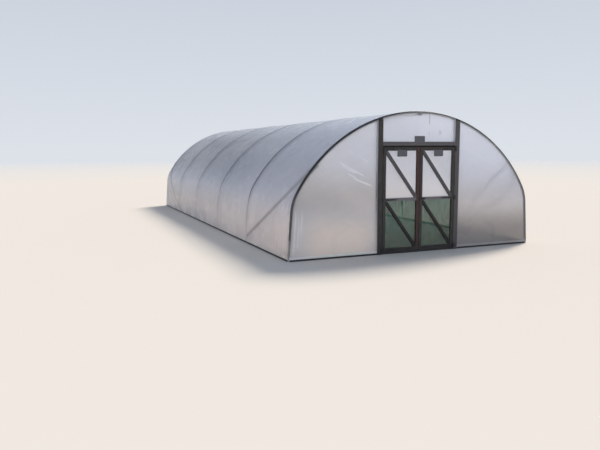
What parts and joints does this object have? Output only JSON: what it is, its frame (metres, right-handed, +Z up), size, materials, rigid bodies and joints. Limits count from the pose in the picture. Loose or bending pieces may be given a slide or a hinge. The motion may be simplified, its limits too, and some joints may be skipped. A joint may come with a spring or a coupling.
{
  "type": "polytunnel greenhouse",
  "caption": "Arched greenhouse of steel hoops under a translucent film cover, with braced timber double doors of film and netting at both ends.",
  "frame": {"origin": "on the ground, in the middle of the footprint", "axes": "+Y along the tunnel towards the rear doors, +X across it to the right seen from the front, +Z up"},
  "size_m": [5.6854, 12.6406, 2.8181],
  "materials": {
    "galvanised_tube": "satin",
    "sawn_timber": "matte",
    "film": "satin",
    "net": "matte",
    "ironwork": "satin"
  },
  "bodies": {
    "tunnel": {"hoop_1": "galvanised_tube", "hoop_2": "galvanised_tube", "hoop_3": "galvanised_tube", "hoop_4": "galvanised_tube", "hoop_5": "galvanised_tube", "hoop_6": "galvanised_tube", "ridge_tube": "galvanised_tube", "corner_brace_front_left": "galvanised_tube", "corner_brace_front_right": "galvanised_tube", "corner_brace_rear_left": "galvanised_tube", "corner_brace_rear_right": "galvanised_tube", "ground_tubes_left": "galvanised_tube", "ground_tubes_right": "galvanised_tube", "base_rail_left": "sawn_timber", "base_rail_right": "sawn_timber", "base_rail_front": "sawn_timber", "base_rail_rear": "sawn_timber", "door_post_front_left": "sawn_timber", "door_post_front_right": "sawn_timber", "door_post_rear_left": "sawn_timber", "door_post_rear_right": "sawn_timber", "door_header_front": "sawn_timber", "door_header_rear": "sawn_timber", "door_stop_front": "sawn_timber", "door_stop_rear": "sawn_timber", "cover_left_side": "film", "cover_right_side": "film", "cover_roof_left_low": "film", "cover_roof_left_high": "film", "cover_roof_ridge": "film", "cover_roof_right_high": "film", "cover_roof_right_low": "film", "gable_film_front_left": "film", "gable_film_front_right": "film", "gable_film_rear_left": "film", "gable_film_rear_right": "film", "transom_film_front": "film", "transom_film_rear": "film", "hinges_front": "ironwork", "hinges_rear": "ironwork"},
    "leaf_front_left": {"leaf_front_left_frame": "sawn_timber", "leaf_front_left_film": "film", "leaf_front_left_net": "net", "leaf_front_left_straps": "ironwork"},
    "leaf_front_right": {"leaf_front_right_frame": "sawn_timber", "leaf_front_right_film": "film", "leaf_front_right_net": "net", "leaf_front_right_straps": "ironwork", "latch_front": "ironwork"},
    "leaf_rear_left": {"leaf_rear_left_frame": "sawn_timber", "leaf_rear_left_film": "film", "leaf_rear_left_net": "net", "leaf_rear_left_straps": "ironwork", "latch_rear": "ironwork"},
    "leaf_rear_right": {"leaf_rear_right_frame": "sawn_timber", "leaf_rear_right_film": "film", "leaf_rear_right_net": "net", "leaf_rear_right_straps": "ironwork"}
  },
  "joints": [
    {"name": "front_left_leaf_swing", "type": "hinge", "parent": "tunnel", "child": "leaf_front_left", "pos_m": [-0.846, -6.297, 1.08], "axis": [0, 0, -1], "range_deg": [0, 170]},
    {"name": "front_right_leaf_swing", "type": "hinge", "parent": "tunnel", "child": "leaf_front_right", "pos_m": [0.846, -6.297, 1.08], "axis": [0, 0, 1], "range_deg": [0, 170]},
    {"name": "rear_left_leaf_swing", "type": "hinge", "parent": "tunnel", "child": "leaf_rear_left", "pos_m": [-0.846, 6.297, 1.08], "axis": [0, 0, 1], "range_deg": [0, 170]},
    {"name": "rear_right_leaf_swing", "type": "hinge", "parent": "tunnel", "child": "leaf_rear_right", "pos_m": [0.846, 6.297, 1.08], "axis": [0, 0, -1], "range_deg": [0, 170]}
  ]
}
